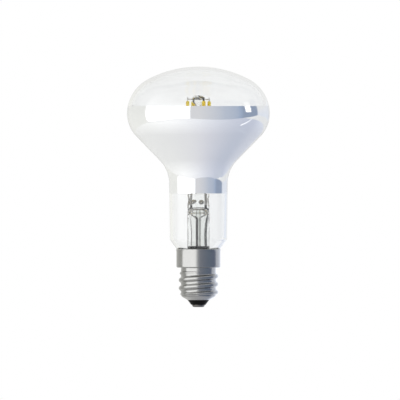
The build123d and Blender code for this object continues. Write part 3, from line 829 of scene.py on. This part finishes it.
def turn(bm, steps):
    """Turns the outline in a bmesh once round the Z axis and makes its faces point outwards."""
    bmesh.ops.spin(
        bm, geom=bm.verts[:] + bm.edges[:], cent=(0, 0, 0), axis=(0, 0, 1), dvec=(0, 0, 0),
        angle=2 * pi, steps=steps, use_merge=True, use_duplicate=False,
    )
    bmesh.ops.remove_doubles(bm, verts=bm.verts, dist=WELD)
    bmesh.ops.recalc_face_normals(bm, faces=bm.faces)


def add_wall(bm, thickness):
    """Gives an open surface a wall that grows inwards, and closes its rims."""
    bmesh.ops.solidify(bm, geom=bm.faces[:], thickness=thickness)


def new_piece(name, bm, slot, *nodes):
    """Makes a piece of the bulb, hangs it on the root body and hides the CAD nodes it stands for."""
    piece = new_object(name, bm, finishes[slot])
    piece.data.shade_smooth()
    piece.data.set_sharp_from_angle(angle=radians(SHARP_ANGLE))
    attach(piece, "root")
    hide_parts(*nodes)
    print(name, "faces:", len(piece.data.polygons))


print("edges stay sharp from degrees:", SHARP_ANGLE)

# %% [markdown]
# ## Glass envelope
# The head is four arcs: a flat crown over the clear face, a rim down to the widest point, a shoulder,
# and the hollow curve where the flank runs into the neck. The neck ends in a short cone inside the
# cap's lip. A subdivided cage could come close, but glass shows every dent, so the exact arcs are spun
# with many steps, and Solidify gives the wall.

# %% Sizes of the envelope
glass_low, glass_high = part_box("glass_envelope")
cap_low, cap_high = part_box("cap_shell")
BULB_R = glass_high.x
CROWN_R, RIM_R, SHOULDER_R, NECK_FILLET_R = 38.0 * MM, 13.7 * MM, 11.3 * MM, 11.4 * MM
FLANK_ANGLE, NECK_TAPER, HEEL_ANGLE = 44.2, 0.8, 37.0
NECK_R, NECK_LENGTH = 10.33 * MM, 27.8 * MM  # neck where flank and neck meet, above the cap's rim
LIP_FLARE, LIP_HEIGHT, CAP_WALL = 0.2 * MM, 0.6 * MM, 0.3 * MM
SEAL_R = 6.9 * MM
MOUTH_R = 7.5 * MM  # glass in the plane of the cap's rim
HEEL_BEND_R = 2.0 * MM
GLASS_WALL = 1.0 * MM
TURN_STEPS = 192
NECK_STEPS, HEEL_STEPS = (8, 16), (14, 6)  # on the straight run and round the bend

crown_z = glass_high.z - CROWN_R
rim_centre_r = BULB_R - RIM_R
crown_angle = degrees(asin(rim_centre_r / (CROWN_R - RIM_R)))
equator_z = crown_z + sqrt((CROWN_R - RIM_R) ** 2 - rim_centre_r**2)
# the flared lip's inner edge stands a little higher than its outer edge
rim_z = cap_high.z - CAP_WALL * sin(atan2(LIP_FLARE, LIP_HEIGHT))
neck_corner_z = rim_z + NECK_LENGTH
print("crown angle:", round(crown_angle, 2), "widest point in mm:", round(equator_z / MM, 2))

# %% [markdown]
# ### Outline of the glass
# Rounded corners between straight runs come back on the cap, so they get a helper. The outline is a
# function too, because the mirror film needs the same surface once more.


# %% Outline of the envelope
def bend(bm, tip, corner, before, after, radius, steps):
    """Runs to a rounded corner and round it. Directions are degrees from straight down, inwards."""
    turned = before - after
    side = 1 if turned > 0 else -1
    reach = radius * tan(radians(abs(turned)) / 2)
    along = (sin(radians(before)), cos(radians(before)))
    first = (corner[0] + reach * along[0], corner[1] + reach * along[1])
    centre = (first[0] + side * radius * along[1], first[1] - side * radius * along[0])
    tip = run(bm, tip, first, steps[0])
    return arc(bm, tip, centre, -turned, steps[1])


def envelope_surface():
    """Outside of the glass as an open turned surface, from the crown down to the sealed end."""
    heel_slope, neck_slope = tan(radians(HEEL_ANGLE)), tan(radians(NECK_TAPER))
    heel_rise = (NECK_R - NECK_LENGTH * neck_slope - MOUTH_R) / (heel_slope - neck_slope)
    heel_corner = (MOUTH_R + heel_rise * heel_slope, rim_z + heel_rise)
    heel_foot_z = rim_z - (MOUTH_R - SEAL_R) / heel_slope
    bm = bmesh.new()
    tip = bm.verts.new((0, 0, glass_high.z))
    tip = arc(bm, tip, (0, crown_z), crown_angle, steps=28)
    tip = arc(bm, tip, (rim_centre_r, equator_z), 90 - crown_angle, steps=26)
    tip = arc(bm, tip, (BULB_R - SHOULDER_R, equator_z), FLANK_ANGLE, steps=16)
    tip = bend(bm, tip, (NECK_R, neck_corner_z), FLANK_ANGLE, NECK_TAPER, NECK_FILLET_R, NECK_STEPS)
    tip = bend(bm, tip, heel_corner, NECK_TAPER, HEEL_ANGLE, HEEL_BEND_R, HEEL_STEPS)
    tip = run(bm, tip, (SEAL_R, heel_foot_z), steps=4)
    run(bm, tip, (SEAL_R, glass_low.z), steps=3)
    turn(bm, TURN_STEPS)
    return bm


bm = envelope_surface()
add_wall(bm, GLASS_WALL)
new_piece("glass_bulb", bm, "clear_glass", "glass_envelope")

# %% [markdown]
# ## Mirror film
# The mirror is evaporated on the inside of the glass, from just above the widest point down into the
# neck. It is the same turned surface, moved inwards along its normals, cut level at both edges and
# given a thin wall. Its outer face lies a hair inside the glass, so that light meets the metal before
# it could leave the glass.

# %% Mirror film inside the glass
film_low, film_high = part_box("reflector_coating")
FILM_SINK = 0.02 * MM
FILM_WALL = 0.1 * MM

bm = envelope_surface()
for vert in bm.verts:
    vert.co -= vert.normal * (GLASS_WALL - FILM_SINK)
for height, away in ((film_high.z, 1), (film_low.z, -1)):
    bmesh.ops.bisect_plane(
        bm, geom=bm.verts[:] + bm.edges[:] + bm.faces[:], dist=WELD, plane_co=(0, 0, height),
        plane_no=(0, 0, away), clear_outer=True,
    )
add_wall(bm, FILM_WALL)
new_piece("mirror_layer", bm, "mirror_film", "reflector_coating")

# %% [markdown]
# ## Stem
# The stem is a glass tube that flares out at its foot, where it is melted to the neck. Its bore is
# waisted and closes in a dome below the solid end that holds the lead wires. So one outline goes down
# the outside, round the flare and up the bore, and it is turned like the envelope.

# %% Turn the stem
stem_low, stem_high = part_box("stem")
STEM_R, STEM_WALL, WAIST_R = 3.9 * MM, 0.8 * MM, 2.3 * MM
FLARE_R = SEAL_R - GLASS_WALL
PRESS_HEIGHT, PRESS_EDGE_R = 5.7 * MM, 0.6 * MM
EXHAUST_R = 0.95 * MM
STEM_STEPS = 128

bore_r = STEM_R - STEM_WALL
flare_z = stem_low.z + STEM_WALL + FLARE_R - STEM_R
bore_crown_z = stem_high.z - PRESS_HEIGHT
dome_z = bore_crown_z - (bore_r - EXHAUST_R)
waist_z = (flare_z + dome_z) / 2
waist_sag = bore_r - WAIST_R
waist_curve_r = ((dome_z - waist_z) ** 2 + waist_sag**2) / (2 * waist_sag)
waist_angle = 2 * degrees(asin((dome_z - waist_z) / waist_curve_r))

bm = bmesh.new()
tip = bm.verts.new((0, 0, stem_high.z))
tip = run(bm, tip, (STEM_R - PRESS_EDGE_R, stem_high.z), steps=12)
tip = arc(bm, tip, (STEM_R - PRESS_EDGE_R, stem_high.z - PRESS_EDGE_R), 90, steps=6)
tip = run(bm, tip, (STEM_R, dome_z), steps=40)
tip = run(bm, tip, (STEM_R, flare_z), steps=12)
tip = arc(bm, tip, (FLARE_R, flare_z), -90, steps=10)
for corner in ((SEAL_R, stem_low.z + STEM_WALL), (SEAL_R, stem_low.z), (FLARE_R, stem_low.z)):
    tip = run(bm, tip, corner, steps=2)
tip = arc(bm, tip, (FLARE_R, flare_z), 90, steps=10)
tip = arc(bm, tip, (WAIST_R + waist_curve_r, waist_z), waist_angle, steps=24)
tip = arc(bm, tip, (EXHAUST_R, dome_z), -90, steps=12)
run(bm, tip, (0, bore_crown_z), steps=4)
turn(bm, STEM_STEPS)
print("stem waist curve in mm:", round(waist_curve_r / MM, 1))

# %% [markdown]
# ### Pinched press
# The hot upper end was pinched flat between two jaws. So the vertices above the dome are squeezed along
# Y. The pinch begins softly, a power of the depth makes the section squarer than an oval, and the
# narrow sides sag in waves.

# %% Pinch the press
PRESS_THICKNESS = 3.4 * MM
PINCH_START_Z, PINCH_END_Z = bore_crown_z - 0.9 * MM, bore_crown_z + 1.0 * MM
PINCH_SQUARENESS = 0.4  # 0 leaves an oval section, higher values flatten its sides
WAVE_LENGTH, WAVE_DEPTH = 4.2 * MM, 0.08

for vert in bm.verts:
    if vert.co.z > bore_crown_z + WELD or (vert.co.z > PINCH_START_Z and vert.co.xy.length > bore_r):
        share = min(1.0, (vert.co.z - PINCH_START_Z) / (PINCH_END_Z - PINCH_START_Z))
        share = share * share * (3 - 2 * share)  # starts and ends softly
        half = STEM_R + share * (PRESS_THICKNESS / 2 - STEM_R)
        depth = half * (abs(vert.co.y) / STEM_R) ** (1 - PINCH_SQUARENESS * share)
        vert.co.y = depth if vert.co.y > 0 else -depth
        wave = 0.5 - 0.5 * cos(2 * pi * (stem_high.z - vert.co.z) / WAVE_LENGTH)
        vert.co.x *= 1 - WAVE_DEPTH * share * wave
print("press thickness in mm:", round(PRESS_THICKNESS / MM, 1))

# %% [markdown]
# ### Air pockets
# Air that stayed in the press shows as dark pockets. Each is a stretched and tilted sphere inside the
# glass. Its faces are turned over, so that they point out of the glass and into the air.

# %% Air pockets in the press
POCKET_MERIDIANS, POCKET_RINGS = 32, 16
POCKETS = (
    ((-2.0 * MM, 0.0, 36.7 * MM), (1.5 * MM, 0.9 * MM, 0.75 * MM), 24),
    ((0.95 * MM, 0.0, 36.7 * MM), (0.9 * MM, 1.0 * MM, 0.85 * MM), 0),
)
for centre, half_sizes, tilt in POCKETS:
    tilted = Matrix.Rotation(radians(-tilt), 4, "Y")
    pocket = Matrix.Translation(centre) @ tilted @ Matrix.Diagonal((*half_sizes, 1))
    made = bmesh.ops.create_uvsphere(
        bm, u_segments=POCKET_MERIDIANS, v_segments=POCKET_RINGS, radius=1.0, matrix=pocket
    )
    skin = {face for vert in made["verts"] for face in vert.link_faces}
    bmesh.ops.reverse_faces(bm, faces=list(skin))
new_piece("stem_glass", bm, "stem_glass", "stem")

# %% [markdown]
# ## Exhaust tube
# The air was pumped out through this thin tube, which hangs in the stem's bore and was melted shut
# below the flare. It is turned from one outline that goes down the outside, round the closed tip and
# up the narrow bore. It starts a hair below the dome, so that two glass faces never share a place.

# %% Turn the exhaust tube
exhaust_low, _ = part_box("exhaust_tube")
EXHAUST_BORE_R, GLASS_GAP = 0.5 * MM, 0.02 * MM
EXHAUST_STEPS = 48
exhaust_top_z = bore_crown_z - GLASS_GAP
tip_centre_z = exhaust_low.z + EXHAUST_R

bm = bmesh.new()
tip = bm.verts.new((EXHAUST_BORE_R, 0, exhaust_top_z))
tip = run(bm, tip, (EXHAUST_R, exhaust_top_z), steps=2)
tip = run(bm, tip, (EXHAUST_R, tip_centre_z), steps=16)
tip = arc(bm, tip, (0, tip_centre_z), 90, steps=8)
tip = run(bm, tip, (0, tip_centre_z), steps=2)
tip = run(bm, tip, (EXHAUST_BORE_R, tip_centre_z), steps=2)
run(bm, tip, (EXHAUST_BORE_R, exhaust_top_z), steps=16)
turn(bm, EXHAUST_STEPS)
new_piece("exhaust_glass", bm, "stem_glass", "exhaust_tube")

# %% [markdown]
# ## Pillar and bead
# A glass rod stands on the press and ends in a bead, in which the two upper bridge wires are melted.
# The bead is a cone at its foot and rounded on top, and the rod is a straight run.

# %% Turn the pillar
pillar_low, pillar_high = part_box("filament_pillar")
PILLAR_R, BEAD_R, PILLAR_STEPS = 1.1 * MM, 2.15 * MM, 64
BEAD_HEIGHT, BEAD_TOP_R, BEAD_FOOT_HEIGHT = 3.3 * MM, 1.4 * MM, 0.8 * MM
bead_foot_z = pillar_high.z - BEAD_HEIGHT

bm = bmesh.new()
tip = bm.verts.new((0, 0, pillar_high.z))
tip = run(bm, tip, (BEAD_R - BEAD_TOP_R, pillar_high.z), steps=3)
tip = arc(bm, tip, (BEAD_R - BEAD_TOP_R, pillar_high.z - BEAD_TOP_R), 90, steps=14)
tip = run(bm, tip, (BEAD_R, bead_foot_z + BEAD_FOOT_HEIGHT), steps=6)
tip = run(bm, tip, (PILLAR_R, bead_foot_z), steps=6)
tip = run(bm, tip, (PILLAR_R, pillar_low.z + GLASS_GAP), steps=20)
run(bm, tip, (0, pillar_low.z + GLASS_GAP), steps=2)
turn(bm, PILLAR_STEPS)
new_piece("pillar_glass", bm, "stem_glass", "filament_pillar")

# %% [markdown]
# ## Filaments
# Each filament is a row of LED chips on a thin strip, buried in silicone that is filled with yellow
# phosphor. The silicone has soft edges all round. A cube scaled to the strip's size and bevelled gives
# that, and a loop turns four of them round the pillar.

# %% Four filament strips
STRIP_SIZE = Vector((1.0, 1.25, 30.0)) * MM
STRIP_EDGE, STRIP_EDGE_STEPS = 0.4 * MM, 5
STRIP_COUNT, STRIP_CIRCLE_R, FIRST_STRIP_ANGLE = 4, 4.2 * MM, 26.2

for number in range(STRIP_COUNT):
    node = f"filament_{number + 1}"
    low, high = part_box(node)
    bm = bmesh.new()
    bmesh.ops.create_cube(bm, size=1.0)
    bmesh.ops.scale(bm, verts=bm.verts, vec=STRIP_SIZE)
    bmesh.ops.bevel(
        bm, geom=bm.edges[:], offset=STRIP_EDGE, offset_type="OFFSET", affect="EDGES",
        segments=STRIP_EDGE_STEPS, profile=0.5, material=-1,
    )
    bmesh.ops.translate(bm, verts=bm.verts, vec=(STRIP_CIRCLE_R, 0, (low.z + high.z) / 2))
    angle = radians(FIRST_STRIP_ANGLE + number * 360 / STRIP_COUNT)
    bmesh.ops.rotate(bm, verts=bm.verts, cent=(0, 0, 0), matrix=Matrix.Rotation(angle, 3, "Z"))
    new_piece(f"filament_strip_{number + 1}", bm, "phosphor", node)

# %% [markdown]
# ## Screw cap
# The cap is drawn from one thin sheet: lip, collar, step, screw and nose. It is turned plain first, with
# many rings along the screw, because the thread is rolled into the sheet afterwards.

# %% Turn the plain cap
COLLAR_R, COLLAR_HEIGHT, SCREW_LENGTH = 7.7 * MM, 6.4 * MM, 10.0 * MM
THREAD_MINOR_R = 6.1 * MM
NOSE_HOLE_R, NOSE_BEND_R, STEP_OUTER_R, STEP_INNER_R = 3.8 * MM, 1.1 * MM, 0.5 * MM, 0.2 * MM
COLLAR_STEPS, STEP_STEPS, SCREW_STEPS = (10, 6), (3, 4), (84, 8)  # straight run and bend
CAP_STEPS = 160

step_z = rim_z - COLLAR_HEIGHT
screw_z = step_z - SCREW_LENGTH
nose_angle = degrees(atan2(THREAD_MINOR_R - NOSE_HOLE_R, screw_z - cap_low.z))

bm = bmesh.new()
tip = bm.verts.new((COLLAR_R + LIP_FLARE, 0, rim_z))
tip = run(bm, tip, (COLLAR_R, rim_z - LIP_HEIGHT), steps=3)
tip = bend(bm, tip, (COLLAR_R, step_z), 0, 90, STEP_OUTER_R, COLLAR_STEPS)
tip = bend(bm, tip, (THREAD_MINOR_R, step_z), 90, 0, STEP_INNER_R, STEP_STEPS)
tip = bend(bm, tip, (THREAD_MINOR_R, screw_z), 0, nose_angle, NOSE_BEND_R, SCREW_STEPS)
run(bm, tip, (NOSE_HOLE_R, cap_low.z), steps=8)
turn(bm, CAP_STEPS)
print("nose angle:", round(nose_angle, 1), "cap faces before rolling:", len(bm.faces))

# %% [markdown]
# ### Rolled thread
# The thread is rolled between two wheels, so crest and root are arcs of the same radius. Spinning a wave
# along a helix leaves rough ends. Instead each vertex of the screw moves outwards by the height that the
# thread has at its place, and towards both ends that height fades to nothing.

# %% Roll the thread
THREAD_MAJOR_R, THREAD_PITCH = 6.9 * MM, 2.822 * MM
THREAD_TOP_LAND, THREAD_FADE = 1.3 * MM, 1.0 * MM
thread_top_z = step_z - THREAD_TOP_LAND
thread_depth, quarter_pitch = THREAD_MAJOR_R - THREAD_MINOR_R, THREAD_PITCH / 4
crest_curve_r = (quarter_pitch**2 + (thread_depth / 2) ** 2) / thread_depth


def thread_height(offset):
    """Height over the root at a distance from the crest's middle, from two equal arcs."""
    if abs(offset) < quarter_pitch:
        return thread_depth - crest_curve_r + sqrt(crest_curve_r**2 - offset**2)
    return crest_curve_r - sqrt(crest_curve_r**2 - (2 * quarter_pitch - abs(offset)) ** 2)


for vert in bm.verts:
    if screw_z < vert.co.z < thread_top_z and abs(vert.co.xy.length - THREAD_MINOR_R) < WELD:
        climb = vert.co.z - screw_z + THREAD_PITCH / 2
        turns = climb / THREAD_PITCH - atan2(vert.co.y, vert.co.x) / (2 * pi)
        fade = min(1.0, (vert.co.z - screw_z) / THREAD_FADE, (thread_top_z - vert.co.z) / THREAD_FADE)
        out = fade * thread_height((turns - round(turns)) * THREAD_PITCH)
        vert.co.xy *= (THREAD_MINOR_R + out) / THREAD_MINOR_R
bm.normal_update()
add_wall(bm, CAP_WALL)
new_piece("cap_sheet", bm, "cap_metal", "cap_shell")
